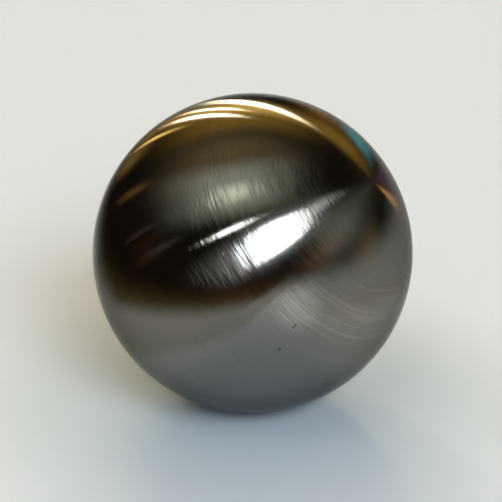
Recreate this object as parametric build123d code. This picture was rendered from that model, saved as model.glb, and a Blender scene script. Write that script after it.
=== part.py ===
from build123d import *
import os

# A solid ball of tungsten, turned as one piece about one axis.
# Millimetres, +Z up, origin at the centre of the ball, -Y towards the viewer.

# Driving dimensions
BALL_DIAMETER = 50.0

# Attitude in which the ball lies: its turning axis leans away from +Z, and to the right and front
TURNING_AXIS_LEAN_DEG = 53.8
TURNING_AXIS_HEADING_DEG = -27.1


def ball():
    """A half disc spun once round the turning axis, then laid over to the lean of that axis."""
    half_disc = make_face(
        [
            JernArc((0, -BALL_DIAMETER / 2), (1, 0), BALL_DIAMETER / 2, 180),
            Line((0, BALL_DIAMETER / 2), (0, -BALL_DIAMETER / 2)),
        ]
    )
    upright = revolve(Plane.XZ * half_disc, axis=Axis.Z)
    return Rot(Z=TURNING_AXIS_HEADING_DEG) * Rot(Y=TURNING_AXIS_LEAN_DEG) * upright


os.makedirs("parts", exist_ok=True)
export_step(ball(), "parts/ball.step")
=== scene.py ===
import math

import bpy
import numpy as np
from mathutils import Matrix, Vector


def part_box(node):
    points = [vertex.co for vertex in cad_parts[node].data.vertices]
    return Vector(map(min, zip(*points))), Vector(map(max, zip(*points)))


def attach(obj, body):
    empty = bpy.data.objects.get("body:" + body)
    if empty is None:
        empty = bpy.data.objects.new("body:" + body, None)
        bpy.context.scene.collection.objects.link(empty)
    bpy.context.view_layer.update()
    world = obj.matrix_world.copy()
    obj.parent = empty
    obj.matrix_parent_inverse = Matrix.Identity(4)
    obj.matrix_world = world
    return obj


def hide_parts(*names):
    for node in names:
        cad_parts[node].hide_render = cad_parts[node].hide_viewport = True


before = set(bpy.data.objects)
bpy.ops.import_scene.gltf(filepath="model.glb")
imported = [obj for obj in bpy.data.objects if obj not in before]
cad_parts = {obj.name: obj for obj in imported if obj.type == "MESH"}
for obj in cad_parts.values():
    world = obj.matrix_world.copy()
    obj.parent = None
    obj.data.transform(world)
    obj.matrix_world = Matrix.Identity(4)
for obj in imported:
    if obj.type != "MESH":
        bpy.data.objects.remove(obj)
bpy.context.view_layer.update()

# Metres and degrees. The ball's centre is the origin, +Z is up and the viewer stands at -Y.
MILLIMETRE = 0.001
UP = (0.0, 0.0, 1.0)
BEHIND = (0.0, 1.0, 0.0)
LEFT = (-1.0, 0.0, 0.0)
# The two ways across a map
MAP_ROWS = (1.0, 0.0, 0.0)
MAP_COLUMNS = (0.0, 1.0, 0.0)

# The ball, and the axis it was turned about
BALL_LOW, BALL_HIGH = np.array(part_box("ball"), float)
BALL_RADIUS = float(np.max(BALL_HIGH - BALL_LOW)) / 2
FLOOR_LEVEL = float(BALL_LOW[2])
TURNING_AXIS_LEAN_DEG = 53.8
TURNING_AXIS_HEADING_DEG = -27.1
RINGS = 390
RING_POINTS = 252
UNDULATION_LENGTHS = (3.1 * MILLIMETRE, 1.27 * MILLIMETRE)
UNDULATION_DEPTHS = (0.004 * MILLIMETRE, 0.0012 * MILLIMETRE)

# Brushing and turning marks: noise cells for each radian across the marks and along them
SHEEN_CELLS = (6000.0, 1500.0)
HAIR_CELLS = (420.0, 10.0)
LINE_CELLS = (140.0, 6.0)
RING_CELLS = (44.0, 0.9)
ARC_CELLS = (64.0, 1.1)
# Octaves of each noise, how strong each finer octave is, and the value that noise varies about
SHEEN_OCTAVES = (0.0, 0.5)
MARK_OCTAVES = (2.0, 0.6)
ARC_OCTAVES = (3.0, 0.7)
CLOUD_OCTAVES = (3.0, 0.55)
SMEAR_OCTAVES = (2.0, 0.5)
NOISE_MIDDLE = 0.5
# How far the brushing tips the normal, as a slope: on every side, and what the scuffed side adds
SHEEN_SLOPES = (0.60, -0.10)
HAIR_SLOPES = (0.07, 0.32)
LINE_SLOPES = (0.06, 0.35)
# The scuffed side: the middles of its patches as shares of the outline's radius, and where a patch ends and
# where it is full
SCUFF_CENTRE_SHARES = ((-0.15, 0.02), (0.30, 0.26), (0.0, 0.36))
SCUFF_REACH = (10.5 * MILLIMETRE, 5.0 * MILLIMETRE)
# Light arcs round the turning axis: angles from it in radians, and heights, at which they end and are full
ARC_INNER_ANGLES = (0.45, 0.70)
ARC_OUTER_ANGLES = (1.045, 1.01)
ARC_HEIGHTS = (9.0 * MILLIMETRE, 2.0 * MILLIMETRE)
ARC_NOISE = (-0.04, 0.20)
ARC_SHARE = 0.46
# A worn patch with light hairs: its middle as shares of the outline's radius, and where it ends and is full
WORN_CENTRE_SHARES = (0.29, -0.33)
WORN_REACH = (5.0 * MILLIMETRE, 1.0 * MILLIMETRE)
WORN_TONES = (0.75, 3.4)
# Handling marks: the size of small clouds and of wide smears
CLOUD_CELL = 10.5 * MILLIMETRE
SMEAR_CELL = 29.4 * MILLIMETRE
# How much each mark moves the metal from its dark to its light tone
MIDDLE_TONE = 0.5
RING_TONE = 0.6
CLOUD_TONE = 0.7
LINE_TONES = (0.9, 0.7)
STAIN_TONES = (0.35, 2.2)
# Roughness of the clean metal, and what each mark adds
CLEAN_ROUGHNESS = 0.065
SMEAR_ROUGHNESS = 0.05
RING_ROUGHNESS = 0.04
CLOUD_ROUGHNESS = 0.03
ZONE_ROUGHNESS = 0.015
PIT_ROUGHNESS = 0.3
# Small pits: place as shares of the outline's radius, and radius
PITS = (
    ((0.268, -0.452), 0.24 * MILLIMETRE),
    ((0.256, -0.464), 0.18 * MILLIMETRE),
    ((0.168, -0.598), 0.20 * MILLIMETRE),
    ((-0.800, -0.522), 0.26 * MILLIMETRE),
)
PIT_DEPTH = 0.12 * MILLIMETRE
PIT_FLAT_SHARE = 0.45
PIT_TONE = 0.55
# Colours of the metal
DARK_METAL = (0.207, 0.202, 0.192, 1.0)
LIGHT_METAL = (0.300, 0.293, 0.279, 1.0)
STAINED_METAL = (0.240, 0.228, 0.206, 1.0)
ARC_METAL = (0.40, 0.39, 0.37, 1.0)
PIT_METAL = (0.05, 0.047, 0.042, 1.0)
EDGE_METAL = (0.5, 0.5, 0.5, 1.0)

# The camera: a long lens that looks down on the ball
CAMERA_LENS = 150.0
CAMERA_SENSOR = 36.0
CAMERA_CLIP = (0.01, 10.0)
CAMERA_ELEVATION_DEG = 20.0
# The ball in the picture: its radius, and how far it lies right of the middle and below it
HALF_FRAME_PIXELS = 251.0
BALL_RADIUS_PIXELS = 160.2
BALL_RIGHT_PIXELS = 1.6
BALL_DOWN_PIXELS = 2.2
BALL_RADIUS_SHARE = BALL_RADIUS_PIXELS / HALF_FRAME_PIXELS
BALL_RIGHT_SHARE = BALL_RIGHT_PIXELS / HALF_FRAME_PIXELS
BALL_DOWN_SHARE = BALL_DOWN_PIXELS / HALF_FRAME_PIXELS

# The floor: pale paper, with a painted shadow, dimmer and cooler, close round the ball's foot, and a painted
# pool of light in front
FLOOR_RADIUS = 3.0
FLOOR_RINGS = 13
FLOOR_POINTS = 97
FLOOR_ROUGHNESS = 0.9
# Painted shadow round the foot: full within the first distance, gone beyond the second
PAINTED_SHADOW_REACH = (10.0 * MILLIMETRE, 60.0 * MILLIMETRE)
# Painted pool of light in front of the ball: its middle, and where it ends and where it is full
PAINTED_POOL_PLACE = (45.0 * MILLIMETRE, -105.0 * MILLIMETRE, FLOOR_LEVEL)
PAINTED_POOL_REACH = (75.0 * MILLIMETRE, 15.0 * MILLIMETRE)
FIBRE_CELL = 3.8 * MILLIMETRE
FIBRE_OCTAVES = (4.0, 0.5)
FIBRE_TONES = (0.5, 0.16)
DARK_PAPER = (0.690, 0.724, 0.815, 1.0)
LIGHT_PAPER = (0.750, 0.784, 0.875, 1.0)
# Painted shadow: the darker, bluer colour of the paper close round the foot
PAINTED_SHADOW_PAPER = (0.50, 0.57, 0.64, 1.0)
PAPER_GLOW = (0.04, 0.04, 0.04, 1.0)
# Painted pool of light: how brightly the paper glows there
PAINTED_POOL_GLOW = (0.14, 0.14, 0.14, 1.0)
BLACK = (0.0, 0.0, 0.0, 1.0)

# Painted reflections: dark, dimly glowing sheets over the floor that only the ball mirrors: the near edge as
# headings from +X to +Y in degrees and distances from the foot, and how much of the floor each one hides
SIDE_CLOTH_EDGE = (
    (60.0, 260.0 * MILLIMETRE),
    (100.0, 180.0 * MILLIMETRE),
    (120.0, 88.0 * MILLIMETRE),
    (145.0, 32.0 * MILLIMETRE),
    (171.0, 21.0 * MILLIMETRE),
    (207.0, 24.7 * MILLIMETRE),
    (240.0, 32.6 * MILLIMETRE),
    (270.0, 53.0 * MILLIMETRE),
    (284.0, 135.0 * MILLIMETRE),
    (300.0, 350.0 * MILLIMETRE),
    (325.0, 800.0 * MILLIMETRE),
)
SIDE_PAINTED_REFLECTION_SHARE = 0.995
RIGHT_CLOTH_EDGE = (
    (-75.0, 36.0 * MILLIMETRE),
    (-20.0, 24.0 * MILLIMETRE),
    (90.0, 24.0 * MILLIMETRE),
)
RIGHT_PAINTED_REFLECTION_SHARE = 0.38
CLOTH_HEIGHT = 1.0 * MILLIMETRE
CLOTH_GRID = (42, 33)
# Shares of the way along a painted reflection sheet at which it starts, ends and turns redder, and of the
# way out at which its thin hem sets in, it is full and it turns darker, each from first to last
CLOTH_START_SHARES = (0.0, 0.20)
CLOTH_END_SHARES = (1.0, 0.90)
CLOTH_FRONT_SHARES = (0.64, 0.78)
CLOTH_HEM_SHARES = (0.0, 0.06)
HEM_PAINTED_REFLECTION_SHARE = 0.36
CLOTH_NEAR_SHARES = (0.155, 0.225)
CLOTH_DARK_SHARES = (0.15, 0.38)
# Colours that the painted reflection sheets glow with: close to the ball, farther out, and farther out in
# front
NEAR_PAINTED_REFLECTION = (0.16, 0.122, 0.040, 1.0)
FAR_PAINTED_REFLECTION = (0.016, 0.008, 0.004, 1.0)
FRONT_PAINTED_REFLECTION = (0.090, 0.038, 0.020, 1.0)
# A dark painted reflection sheet that hangs in front of the backdrop: where the ball mirrors it, as shares
# of the outline's radius
HUNG_CLOTH_MIDDLE_SHARES = (-0.72, 0.01)
HUNG_CLOTH_HALF_SHARES = (0.11, 0.10)
HUNG_CLOTH_DISTANCE = 2.5

# The air: a dark room with a pale backdrop low behind the ball and to its left, given by sines and cosines
DARK_ROOM = (0.020, 0.016, 0.011, 1.0)
PALE_BACKDROP = (0.73, 0.725, 0.685, 1.0)
BACKDROP_TOP = (0.079, 0.069)
BACKDROP_BEHIND = (0.97, 0.985)
BACKDROP_BESIDE = (0.9875, 0.9905)

# Lamps hang far outside the floor, each a little farther than the last
LAMP_DISTANCE = 30.0
LAMP_SPACING = 0.5
BAR_GRID = (15, 15)
BAND_GRID = (41, 9)
BAND_LIMIT_SHARE = 0.992
# Tints of the lamps
WHITE = (0.97, 1.0, 1.0, 1.0)
COOL_WHITE = (0.86, 0.95, 1.0, 1.0)
PALE_GREEN = (0.95, 1.0, 0.815, 1.0)
OLIVE = (1.0, 0.74, 0.34, 1.0)
PALE_GOLD = (1.0, 0.88, 0.58, 1.0)
DEEP_GOLD = (1.0, 0.63, 0.17, 1.0)
AMBER = (1.0, 0.58, 0.08, 1.0)
ORANGE = (1.0, 0.48, 0.12, 1.0)
BROWN = (1.0, 0.50, 0.30, 1.0)
ROSE = (1.0, 0.70, 0.85, 1.0)
TEAL = (0.18, 0.85, 1.0, 1.0)
PLUM = (0.60, 0.18, 0.45, 1.0)
# Lamps that show as bars on the ball: name, middle, half length and half width as shares of the outline's
# radius, turn in degrees, taper towards the ends, tint, strength, and soft shares along and across
BAR_LAMPS = (
    ("key_window", (0.14, 0.098), (0.25, 0.107), 34.0, 0.92, COOL_WHITE, 16.5, (0.45, 0.14)),
    ("key_tail", (0.42, 0.30), (0.15, 0.055), 36.0, 0.50, WHITE, 1.4, (0.50, 0.50)),
    ("key_haze", (0.08, 0.06), (0.57, 0.17), 32.0, 0.0, WHITE, 0.80, (0.50, 0.50)),
    ("slit_window", (-0.130, 0.150), (0.100, 0.022), 20.0, 0.80, WHITE, 20.0, (0.50, 0.35)),
    ("ceiling_spot", (-0.12, 0.375), (0.12, 0.085), 9.0, 0.0, PALE_GREEN, 2.3, (0.50, 0.45)),
    ("ceiling_glow", (-0.12, 0.395), (0.53, 0.215), 11.0, 0.0, PALE_GREEN, 0.74, (0.50, 0.35)),
    ("side_bounce", (0.54, 0.15), (0.26, 0.20), 40.0, 0.0, PALE_GREEN, 0.36, (0.50, 0.50)),
    ("brown_bounce", (0.43, -0.01), (0.17, 0.11), 30.0, 0.0, BROWN, 0.23, (0.50, 0.50)),
    ("pole_bounce", (0.68, 0.36), (0.20, 0.10), 35.0, 0.0, PALE_GREEN, 0.10, (0.50, 0.50)),
    ("right_bounce", (0.73, 0.05), (0.14, 0.13), 20.0, 0.0, OLIVE, 0.30, (0.50, 0.50)),
    ("amber_glint", (-0.75, 0.38), (0.015, 0.035), 20.0, 0.0, ORANGE, 3.0, (0.50, 0.50)),
    ("rose_glint", (-0.71, 0.11), (0.01, 0.04), 20.0, 0.0, ROSE, 1.6, (0.50, 0.50)),
    ("pale_glint", (-0.56, 0.04), (0.01, 0.03), 20.0, 0.0, WHITE, 1.4, (0.50, 0.50)),
)
# Lamps that show as bands near the outline: name, clock angles in degrees and shares of the outline's radius
# from end to end, half width as such a share, tint, strength, and soft shares along and across
BAND_LAMPS = (
    ("gold_strip_right", (110.0, 66.0), (0.985, 0.874), 0.017, PALE_GOLD, 36.0, (0.55, 0.40)),
    ("gold_strip_thin", (115.0, 95.0), (0.965, 0.898), 0.008, PALE_GOLD, 32.0, (0.40, 0.40)),
    ("gold_strip_middle", (122.0, 96.0), (0.957, 0.857), 0.012, PALE_GOLD, 34.0, (0.40, 0.40)),
    ("gold_strip_left", (139.0, 120.0), (0.967, 0.910), 0.010, DEEP_GOLD, 7.0, (0.40, 0.40)),
    ("gold_tail", (154.0, 132.0), (0.955, 0.955), 0.030, DEEP_GOLD, 0.9, (0.45, 0.45)),
    ("brown_rim", (76.0, 50.0), (0.965, 0.965), 0.025, ORANGE, 0.8, (0.45, 0.45)),
    ("plum_rim", (35.0, 25.0), (0.915, 0.920), 0.025, PLUM, 0.8, (0.45, 0.45)),
    ("amber_rim", (144.0, 110.0), (0.975, 0.975), 0.014, DEEP_GOLD, 1.2, (0.40, 0.40)),
    ("gold_halo", (130.0, 66.0), (0.955, 0.885), 0.055, DEEP_GOLD, 1.9, (0.35, 0.50)),
    ("amber_field", (140.0, 52.0), (0.860, 0.850), 0.110, AMBER, 0.52, (0.45, 0.45)),
    ("amber_side", (78.0, 30.0), (0.905, 0.885), 0.060, AMBER, 0.60, (0.40, 0.40)),
    ("olive_field", (160.0, 48.0), (0.660, 0.660), 0.200, OLIVE, 0.26, (0.50, 0.50)),
    ("teal_accent", (58.0, 36.0), (0.966, 0.958), 0.022, TEAL, 2.0, (0.45, 0.45)),
    ("orange_glint", (26.0, 20.0), (0.925, 0.915), 0.010, ORANGE, 8.0, (0.40, 0.40)),
)


def unit(vector):
    """A vector, or each row of an array of vectors, divided by its length."""
    vector = np.asarray(vector, float)
    return vector / np.linalg.norm(vector, axis=-1, keepdims=True)


def turned(lean_deg, heading_deg):
    """Unit vector that leans away from +Z by one angle, towards a heading measured from +X to +Y."""
    lean, heading = math.radians(lean_deg), math.radians(heading_deg)
    return np.array([math.sin(lean) * math.cos(heading), math.sin(lean) * math.sin(heading), math.cos(lean)])


TURNING_AXIS = turned(TURNING_AXIS_LEAN_DEG, TURNING_AXIS_HEADING_DEG)

# Directions of the picture: to its right, to its top and out of it towards the viewer
PICTURE_RIGHT = np.array([1.0, 0.0, 0.0])
TO_VIEWER = turned(90.0 - CAMERA_ELEVATION_DEG, -90.0)
PICTURE_UP = np.cross(TO_VIEWER, PICTURE_RIGHT)

# Half the frame, and the ball's outline in it, as tangents of angles from the line of sight
FRAME_TANGENT = CAMERA_SENSOR / 2 / CAMERA_LENS
OUTLINE_TANGENT = FRAME_TANGENT * BALL_RADIUS_SHARE
CAMERA_DISTANCE = BALL_RADIUS / math.sin(math.atan(OUTLINE_TANGENT))
CAMERA_PLACE = TO_VIEWER * CAMERA_DISTANCE


def seen_point(right_share, up_share):
    """Where the line of sight through a place on the ball's face meets the ball, and its direction.

    The place is given as shares of the outline's radius, to the right and up. The line leaves the
    camera along the view plus those shares of the outline's tangent, and the nearer root of
    |place + t * line| = radius is the point that shows there.
    """
    right_share, up_share = np.asarray(right_share, float), np.asarray(up_share, float)
    aside = right_share[..., None] * PICTURE_RIGHT + up_share[..., None] * PICTURE_UP
    line = unit(OUTLINE_TANGENT * aside - TO_VIEWER)
    along = line @ CAMERA_PLACE
    reach = -along - np.sqrt(along ** 2 - CAMERA_DISTANCE ** 2 + BALL_RADIUS ** 2)
    return CAMERA_PLACE + reach[..., None] * line, line


def mirrored_place(right_share, up_share, distance):
    """What a mirror ball shows at a place on its face, that far from the ball.

    The line of sight is turned back at the ball's normal: line - 2 (line . normal) normal.
    """
    point, line = seen_point(right_share, up_share)
    normal = point / BALL_RADIUS
    away = line - 2 * np.sum(line * normal, axis=-1, keepdims=True) * normal
    return point + distance * away


def grid_quads(rows, columns):
    """Corner numbers of the quads of a grid of points that is stored row by row."""
    first = (np.arange(rows - 1)[:, None] * columns + np.arange(columns - 1)).reshape(-1, 1)
    return first + np.array([0, columns, columns + 1, 1])


def mesh_object(name, points, faces, map_name=None, map_points=None):
    """A smooth mesh object at the origin, with one map point for each corner of its faces."""
    mesh = bpy.data.meshes.new(name)
    mesh.from_pydata(points.reshape(-1, 3).tolist(), [], faces)
    if map_name:
        layer = mesh.uv_layers.new(name=map_name)
        layer.data.foreach_set("uv", np.asarray(map_points, np.float32).ravel())
    mesh.shade_smooth()
    mesh.validate()
    made = bpy.data.objects.new(name, mesh)
    bpy.context.scene.collection.objects.link(made)
    return made


def mapped_grid(name, points, map_name):
    """A grid of points as a mesh object, with a map that runs from 0 to 1 along its rows and columns."""
    rows, columns = points.shape[:2]
    chart = np.stack(np.meshgrid(np.linspace(0, 1, rows), np.linspace(0, 1, columns), indexing="ij"), -1)
    quads = grid_quads(rows, columns)
    return mesh_object(name, points, quads.tolist(), map_name, chart.reshape(-1, 2)[quads.ravel()])


class Wire:
    """One socket of a node tree. Arithmetic on it adds the nodes that work it out."""

    def __init__(self, tree, socket=None):
        self.tree = tree
        self.socket = socket

    def node(self, kind, settings=None, inputs=None, output=0):
        """Any node: its settings are set first, then the values or links of its sockets."""
        made = self.tree.nodes.new(kind)
        for name, value in (settings or {}).items():
            setattr(made, name, value)
        for key, value in (inputs or {}).items():
            if isinstance(value, Wire):
                self.tree.links.new(value.socket, made.inputs[key])
            else:
                made.inputs[key].default_value = value
        return Wire(self.tree, made.outputs[output] if made.outputs else None)

    def math(self, operation, *values):
        return self.node("ShaderNodeMath", {"operation": operation}, dict(enumerate(values)))

    def vector(self, operation, *values, output=0):
        return self.node("ShaderNodeVectorMath", {"operation": operation}, dict(enumerate(values)), output)

    def scaled(self, vector):
        """A fixed vector, or another wire's vector, times this value."""
        return self.node("ShaderNodeVectorMath", {"operation": "SCALE"}, {0: vector, "Scale": self})

    def dot(self, vector):
        return self.vector("DOT_PRODUCT", self, vector, output="Value")

    def distance(self, place):
        return self.vector("DISTANCE", self, place, output="Value")

    def step(self, start, end):
        """0 before start and 1 after end, with a smooth rise or, where start is larger, a fall."""
        low, high = min(start, end), max(start, end)
        rise = (0.0, 1.0) if start < end else (1.0, 0.0)
        return self.node(
            "ShaderNodeMapRange",
            {"interpolation_type": "SMOOTHSTEP"},
            {0: self, 1: low, 2: high, 3: rise[0], 4: rise[1]},
        )

    def noise(self, octaves):
        """Cloudy noise about 0 at this place, in cells of one unit."""
        detail, roughness = octaves
        settings = {"noise_dimensions": "3D"}
        inputs = {"Vector": self, "Scale": 1.0, "Detail": detail, "Roughness": roughness}
        return self.node("ShaderNodeTexNoise", settings, inputs) - NOISE_MIDDLE

    def mix(self, first, second):
        """A colour that goes from the first to the second as this value goes from 0 to 1."""
        settings = {"data_type": "RGBA", "clamp_factor": True}
        return self.node("ShaderNodeMix", settings, {0: self, 6: first, 7: second}, output=2)

    def is_vector(self):
        return self.socket.type == "VECTOR"

    def both(self, operation, first, second):
        """An operation that numbers and vectors share, as this wire carries one or the other."""
        return (self.vector if self.is_vector() else self.math)(operation, first, second)

    def __add__(self, other):
        return self.both("ADD", self, other)

    def __sub__(self, other):
        return self.both("SUBTRACT", self, other)

    def __rsub__(self, other):
        return self.both("SUBTRACT", other, self)

    def __mul__(self, other):
        if not self.is_vector():
            return self.math("MULTIPLY", self, other)
        return self.node("ShaderNodeVectorMath", {"operation": "SCALE"}, {0: self, "Scale": other})

    __radd__ = __add__
    __rmul__ = __mul__


def new_material(name):
    """An empty node material, and its tree as a wire."""
    made = bpy.data.materials.new(name)
    made.use_nodes = True
    made.node_tree.nodes.clear()
    return made, Wire(made.node_tree)


def turned_ball():
    """The ball as a surface of revolution about its turning axis.

    A point at polar angle a and turn b is r(a) (cos a * axis + sin a * (cos b * side + sin b * front)).
    r(a) is the radius less two shallow cosine undulations along the arc, as hand turning leaves them.
    """
    side = unit(np.cross(TURNING_AXIS, UP))
    front = np.cross(TURNING_AXIS, side)
    polar = np.linspace(0.0, math.pi, RINGS + 1)
    radius = np.full_like(polar, BALL_RADIUS)
    for length, depth in zip(UNDULATION_LENGTHS, UNDULATION_DEPTHS):
        radius -= depth * (1 - np.cos(2 * math.pi * BALL_RADIUS * polar / length)) / 2
    turn = np.linspace(0.0, 2 * math.pi, RING_POINTS, endpoint=False)
    round_about = np.cos(turn)[:, None] * side + np.sin(turn)[:, None] * front
    arc = np.sin(polar)[:, None, None] * round_about + np.cos(polar)[:, None, None] * TURNING_AXIS
    rings = radius[:, None, None] * arc
    points = np.concatenate([rings[0, :1], rings[1:-1].reshape(-1, 3), rings[-1, :1]])

    ring, column = np.meshgrid(np.arange(RINGS - 2), np.arange(RING_POINTS), indexing="ij")
    after = (column + 1) % RING_POINTS
    upper, lower = 1 + ring * RING_POINTS, 1 + (ring + 1) * RING_POINTS
    quads = np.stack([upper + column, lower + column, lower + after, upper + after], -1).reshape(-1, 4)
    last_ring, last_point = 1 + (RINGS - 2) * RING_POINTS, len(points) - 1
    around, onward = column[0], after[0]
    top = np.stack([0 * around, 1 + around, 1 + onward], -1)
    bottom = np.stack([last_ring + around, last_point + 0 * around, last_ring + onward], -1)

    left, right = column / RING_POINTS, (column + 1) / RING_POINTS
    high, low = 1 - (ring + 1) / RINGS, 1 - (ring + 2) / RINGS
    quad_map = np.stack([left, high, left, low, right, low, right, high], -1)
    near, far = around / RING_POINTS, (around + 1) / RING_POINTS
    middle, one = (near + far) / 2, np.ones(RING_POINTS)
    edge = 1.0 / RINGS
    top_map = np.stack([middle, one, near, (1 - edge) * one, far, (1 - edge) * one], -1)
    bottom_map = np.stack([near, edge * one, middle, 0 * one, far, edge * one], -1)
    faces = quads.tolist() + top.tolist() + bottom.tolist()
    map_points = np.concatenate([quad_map.ravel(), top_map.ravel(), bottom_map.ravel()])
    return mesh_object("turned_ball", points, faces, "OFBake", map_points)


def brushed_tungsten():
    """Tungsten turned on a lathe and brushed along the turning marks.

    The brushing tips the normal towards or away from the turning axis's pole by fine noise, so
    highlights spread across the marks and stay crisp along them. Coarser noise, long round the axis
    and narrow across it, shows as hairs and lines. Colour and roughness follow rings, light arcs,
    handling marks and a few pits.
    """
    material, nodes = new_material("brushed_tungsten")
    place = nodes.node("ShaderNodeTexCoord", output="Object")
    normal = nodes.node("ShaderNodeNewGeometry", output="Normal")
    axis = tuple(TURNING_AXIS)
    height = place.dot(tuple(TURNING_AXIS / BALL_RADIUS))
    polar = height.math("ARCCOSINE", height)
    around = place * (1 / BALL_RADIUS) - height.scaled(axis)

    def grain(cells, octaves):
        """Noise with this many cells for each radian across the marks and along them."""
        return ((polar * cells[0]).scaled(axis) + around * cells[1]).noise(octaves)

    def near(shares, end, full):
        """0 beyond one distance from the place at these shares of the outline's radius, 1 within another."""
        return place.distance(tuple(seen_point(*shares)[0])).step(end, full)

    def more_where(amounts, mask):
        """The first amount, and the second added to it where the mask is 1."""
        return mask * amounts[1] + amounts[0]

    sheen = grain(SHEEN_CELLS, SHEEN_OCTAVES)
    hair = grain(HAIR_CELLS, MARK_OCTAVES)
    line = grain(LINE_CELLS, MARK_OCTAVES)
    scuffed = None
    for shares in SCUFF_CENTRE_SHARES:
        patch = near(shares, *SCUFF_REACH)
        scuffed = patch if scuffed is None else patch.math("MAXIMUM", scuffed, patch)
    scratches = hair * more_where(HAIR_SLOPES, scuffed) + line * more_where(LINE_SLOPES, scuffed)
    slope = sheen * more_where(SHEEN_SLOPES, scuffed) + scratches
    to_pole = place.vector("NORMALIZE", (height * (-1 / BALL_RADIUS)).scaled(place) + axis)
    brushed = place.vector("NORMALIZE", slope.scaled(to_pole) + normal)

    pits = None
    for shares, radius in PITS:
        pit = near(shares, radius, PIT_FLAT_SHARE * radius)
        pits = pit if pits is None else pits + pit
    dented = nodes.node(
        "ShaderNodeBump",
        {"invert": True},
        {"Strength": 1.0, "Distance": PIT_DEPTH, "Height": pits, "Normal": brushed},
    )

    cloud = (place * (1 / CLOUD_CELL)).noise(CLOUD_OCTAVES)
    smear = (place * (1 / SMEAR_CELL)).noise(SMEAR_OCTAVES)
    ring = grain(RING_CELLS, MARK_OCTAVES)
    zone = polar.step(*ARC_OUTER_ANGLES) * polar.step(*ARC_INNER_ANGLES)
    low_side = place.dot(UP).step(*ARC_HEIGHTS)
    arcs = grain(ARC_CELLS, ARC_OCTAVES).step(*ARC_NOISE) * zone * low_side
    tone = ring * RING_TONE + cloud * CLOUD_TONE + line * more_where(LINE_TONES, scuffed) + MIDDLE_TONE
    bare = tone.mix(DARK_METAL, LIGHT_METAL)
    stained = more_where(STAIN_TONES, smear).mix(bare, STAINED_METAL)
    worn = near(WORN_CENTRE_SHARES, *WORN_REACH)
    marked = (arcs * ARC_SHARE + worn * more_where(WORN_TONES, line)).mix(stained, ARC_METAL)
    base = (pits * PIT_TONE).mix(marked, PIT_METAL)
    handled = smear * SMEAR_ROUGHNESS + cloud * CLOUD_ROUGHNESS + pits * PIT_ROUGHNESS
    rough = handled + ring * RING_ROUGHNESS + zone * ZONE_ROUGHNESS + CLEAN_ROUGHNESS

    surface = nodes.node(
        "ShaderNodeBsdfPrincipled",
        inputs={
            "Base Color": base,
            "Metallic": 1.0,
            "Roughness": rough,
            "Normal": dented,
            "Specular Tint": EDGE_METAL,
        },
    )
    nodes.node("ShaderNodeOutputMaterial", inputs={"Surface": surface})
    return material


def pale_paper():
    """Pale matt paper, a little uneven, that stays pale to the eye and in what mirrors it, with a painted
    shadow round the ball's foot and a painted pool of light in front.
    """
    material, nodes = new_material("pale_paper")
    place = nodes.node("ShaderNodeTexCoord", output="Object")
    # Painted shadow: close round the foot the paper turns darker and bluer, and it does not glow
    clear = place.distance((0.0, 0.0, FLOOR_LEVEL)).step(*PAINTED_SHADOW_REACH)
    # Painted pool of light: a brighter glow on the paper in front of the ball
    pool = place.distance(PAINTED_POOL_PLACE).step(*PAINTED_POOL_REACH)
    fibre = (place * (1 / FIBRE_CELL)).noise(FIBRE_OCTAVES) * FIBRE_TONES[1] + FIBRE_TONES[0]
    tint = clear.mix(PAINTED_SHADOW_PAPER, fibre.mix(DARK_PAPER, LIGHT_PAPER))
    seen = nodes.node("ShaderNodeLightPath", output="Is Camera Ray")
    paths = seen.socket.node.outputs
    for name in ("Is Glossy Ray", "Is Transmission Ray"):
        seen = seen.math("MAXIMUM", seen, Wire(nodes.tree, paths[name]))
    # The glow is even over the paper, brighter in the painted pool of light and left out in the painted
    # shadow
    glow = (seen * clear).mix(BLACK, pool.mix(PAPER_GLOW, PAINTED_POOL_GLOW))
    surface = nodes.node(
        "ShaderNodeBsdfPrincipled",
        inputs={
            "Base Color": tint,
            "Roughness": FLOOR_ROUGHNESS,
            "Specular IOR Level": 0.0,
            "Emission Color": glow,
            "Emission Strength": 1.0,
        },
    )
    nodes.node("ShaderNodeOutputMaterial", inputs={"Surface": surface})
    return material


def floor():
    """A level disc under the ball: a point at distance r and turn b is (r cos b, r sin b, level)."""
    reach, turn = np.meshgrid(
        FLOOR_RADIUS * np.linspace(0.0, 1.0, FLOOR_RINGS) ** 2,
        np.linspace(0.0, 2 * math.pi, FLOOR_POINTS),
        indexing="ij",
    )
    points = np.stack([reach * np.cos(turn), reach * np.sin(turn), np.full_like(reach, FLOOR_LEVEL)], -1)
    made = mesh_object("floor", points, grid_quads(FLOOR_RINGS, FLOOR_POINTS).tolist())
    made.data.materials.append(pale_paper())


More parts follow.
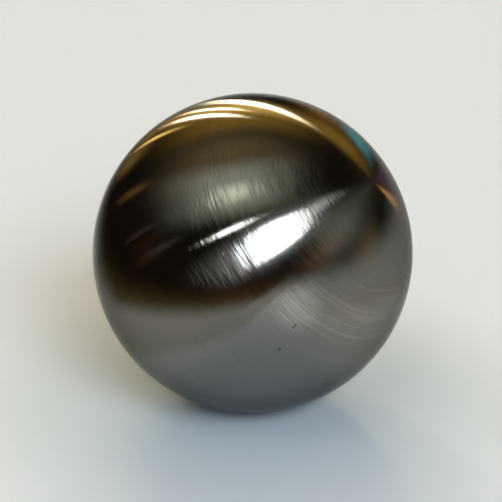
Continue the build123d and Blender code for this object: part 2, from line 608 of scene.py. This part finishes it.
def painted_reflection_sheet(name, cover_share):
    """Painted reflection: a dim glowing sheet, thinner at its near edge and at both ends, darker farther out
    and redder in front.
    """
    material, nodes = new_material(name)
    chart = nodes.node("ShaderNodeUVMap", {"uv_map": "painted_reflection"})
    along, out = chart.dot(MAP_ROWS), chart.dot(MAP_COLUMNS)
    ends = along.step(*CLOTH_START_SHARES) * along.step(*CLOTH_END_SHARES)
    hem = out.step(*CLOTH_HEM_SHARES) * HEM_PAINTED_REFLECTION_SHARE
    rest = out.step(*CLOTH_NEAR_SHARES) * (1 - HEM_PAINTED_REFLECTION_SHARE)
    # Painted reflection: where a sheet covers, the ball mirrors its dim glow instead of what lies behind it
    painted_cover = ends * (rest + hem) * cover_share
    far_painted_reflection_tint = along.step(*CLOTH_FRONT_SHARES).mix(FAR_PAINTED_REFLECTION, FRONT_PAINTED_REFLECTION)
    painted_reflection_tint = out.step(*CLOTH_DARK_SHARES).mix(NEAR_PAINTED_REFLECTION, far_painted_reflection_tint)
    painted_reflection = nodes.node("ShaderNodeEmission", inputs={"Color": painted_reflection_tint, "Strength": 1.0})
    through = nodes.node("ShaderNodeBsdfTransparent")
    mixed = nodes.node("ShaderNodeMixShader", inputs={0: painted_cover, 1: through, 2: painted_reflection})
    nodes.node("ShaderNodeOutputMaterial", inputs={"Surface": mixed})
    return material


def drape(name, points, cover_share):
    """A grid of points as a dark painted reflection sheet that only mirrors see."""
    made = mapped_grid(name, points, "painted_reflection")
    made.data.materials.append(painted_reflection_sheet(name, cover_share))
    made.visible_camera = False
    made.visible_diffuse = False
    made.visible_shadow = False


def floor_painted_reflection(name, edge, cover_share):
    """A dark painted reflection sheet over part of the floor, which only the ball mirrors.

    A point at heading h and share t of the way out is at distance inner(h) * (outer / inner(h)) ** t,
    where inner(h) runs straight from each place of the near edge to the next.
    """
    headings, inners = np.array(edge).T
    turn, share = np.meshgrid(
        np.linspace(headings[0], headings[-1], CLOTH_GRID[0]),
        np.linspace(0.0, 1.0, CLOTH_GRID[1]),
        indexing="ij",
    )
    inner = np.interp(turn, headings, inners)
    reach = inner * (FLOOR_RADIUS / inner) ** share
    level = np.full_like(reach, FLOOR_LEVEL + CLOTH_HEIGHT)
    points = np.stack([reach * np.cos(np.radians(turn)), reach * np.sin(np.radians(turn)), level], -1)
    drape(name, points, cover_share)


def hung_painted_reflection():
    """A dark painted reflection sheet that hangs where the ball mirrors it at a bar of places on its face.
    """
    shares = bar_places(HUNG_CLOTH_MIDDLE_SHARES, HUNG_CLOTH_HALF_SHARES, 0.0, 0.0)
    drape("hung_painted_reflection", mirrored_place(*shares, HUNG_CLOTH_DISTANCE), SIDE_PAINTED_REFLECTION_SHARE)


def lamp_glow(name, tint, strength, soft_shares):
    """Light that fades out towards the edges of a lamp's map and lets what is behind it through."""
    material, nodes = new_material(name)
    chart = nodes.node("ShaderNodeUVMap", {"uv_map": "lamp"})
    along, across = chart.dot(MAP_ROWS), chart.dot(MAP_COLUMNS)
    soft_along, soft_across = soft_shares
    inside = along.step(0.0, soft_along) * along.step(1.0, 1.0 - soft_along)
    inside = inside * across.step(0.0, soft_across) * across.step(1.0, 1.0 - soft_across)
    light = nodes.node("ShaderNodeEmission", inputs={"Color": inside.mix(BLACK, tint), "Strength": strength})
    through = nodes.node("ShaderNodeBsdfTransparent")
    both = nodes.node("ShaderNodeAddShader", inputs={0: light, 1: through})
    nodes.node("ShaderNodeOutputMaterial", inputs={"Surface": both})
    return material


def bar_places(middle, half_sizes, turn_deg, taper_share):
    """A turned bar of places on the ball's face: middle + s * length + t * width * (1 - taper * s * s)."""
    long_way, wide_way = np.meshgrid(
        np.linspace(-1, 1, BAR_GRID[0]), np.linspace(-1, 1, BAR_GRID[1]), indexing="ij"
    )
    cosine, sine = math.cos(math.radians(turn_deg)), math.sin(math.radians(turn_deg))
    along = long_way * half_sizes[0]
    across = wide_way * half_sizes[1] * (1 - taper_share * long_way ** 2)
    return middle[0] + along * cosine - across * sine, middle[1] + along * sine + across * cosine


def band_places(clock_deg, rim_shares, half_width):
    """A band of places near the outline: the clock angle and the share of the radius run from end to end."""
    clock = np.radians(np.linspace(clock_deg[0], clock_deg[1], BAND_GRID[0]))[:, None]
    rim = np.linspace(rim_shares[0], rim_shares[1], BAND_GRID[0])[:, None]
    share = np.minimum(rim + np.linspace(-half_width, half_width, BAND_GRID[1]), BAND_LIMIT_SHARE)
    return share * np.cos(clock), share * np.sin(clock)


def studio_lamps():
    """Every lamp, hung where a mirror ball would show it at its places on the face."""
    placed = [(row[0], bar_places(*row[1:5]), row[5:]) for row in BAR_LAMPS]
    placed += [(row[0], band_places(*row[1:4]), row[4:]) for row in BAND_LAMPS]
    for number, (name, shares, light) in enumerate(placed):
        made = mapped_grid(name, mirrored_place(*shares, LAMP_DISTANCE + number * LAMP_SPACING), "lamp")
        made.data.materials.append(lamp_glow(name, *light))
        made.visible_camera = False


def studio_air():
    """The dark room round the stage, with a pale backdrop low behind the ball and to its left."""
    world = bpy.data.worlds.new("studio")
    bpy.context.scene.world = world
    world.use_nodes = True
    world.node_tree.nodes.clear()
    nodes = Wire(world.node_tree)
    towards = nodes.node("ShaderNodeTexCoord", output="Generated")
    low = towards.dot(UP).step(*BACKDROP_TOP)
    behind = towards.dot(BEHIND).step(*BACKDROP_BEHIND)
    beside = towards.dot(LEFT).step(*BACKDROP_BESIDE)
    tint = (low * behind.math("MAXIMUM", behind, beside)).mix(DARK_ROOM, PALE_BACKDROP)
    air = nodes.node("ShaderNodeBackground", inputs={"Color": tint, "Strength": 1.0})
    nodes.node("ShaderNodeOutputWorld", inputs={"Surface": air})


def camera():
    """A camera aimed a little off the ball, so that the ball lies where the picture has it."""
    data = bpy.data.cameras.new("camera")
    data.lens = CAMERA_LENS
    data.sensor_width = CAMERA_SENSOR
    data.clip_start, data.clip_end = CAMERA_CLIP
    aside = CAMERA_DISTANCE * FRAME_TANGENT
    aim = aside * (BALL_DOWN_SHARE * PICTURE_UP - BALL_RIGHT_SHARE * PICTURE_RIGHT)
    back = unit(CAMERA_PLACE - aim)
    right = unit(np.cross(UP, back))
    up = np.cross(back, right)
    turn = np.eye(4)
    turn[:3, :] = np.stack([right, up, back, CAMERA_PLACE], -1)
    made = bpy.data.objects.new("camera", data)
    made.matrix_world = Matrix(turn.tolist())
    bpy.context.scene.collection.objects.link(made)
    bpy.context.scene.camera = made


ball = turned_ball()
ball.data.materials.append(brushed_tungsten())
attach(ball, "root")
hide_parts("ball")

floor()
# Dark glowing sheets that only the ball mirrors: painted reflections over the floor and before the backdrop
floor_painted_reflection("side_painted_reflection", SIDE_CLOTH_EDGE, SIDE_PAINTED_REFLECTION_SHARE)
floor_painted_reflection("right_painted_reflection", RIGHT_CLOTH_EDGE, RIGHT_PAINTED_REFLECTION_SHARE)
hung_painted_reflection()
studio_lamps()
studio_air()
camera()
bpy.context.scene.view_settings.view_transform = "Standard"
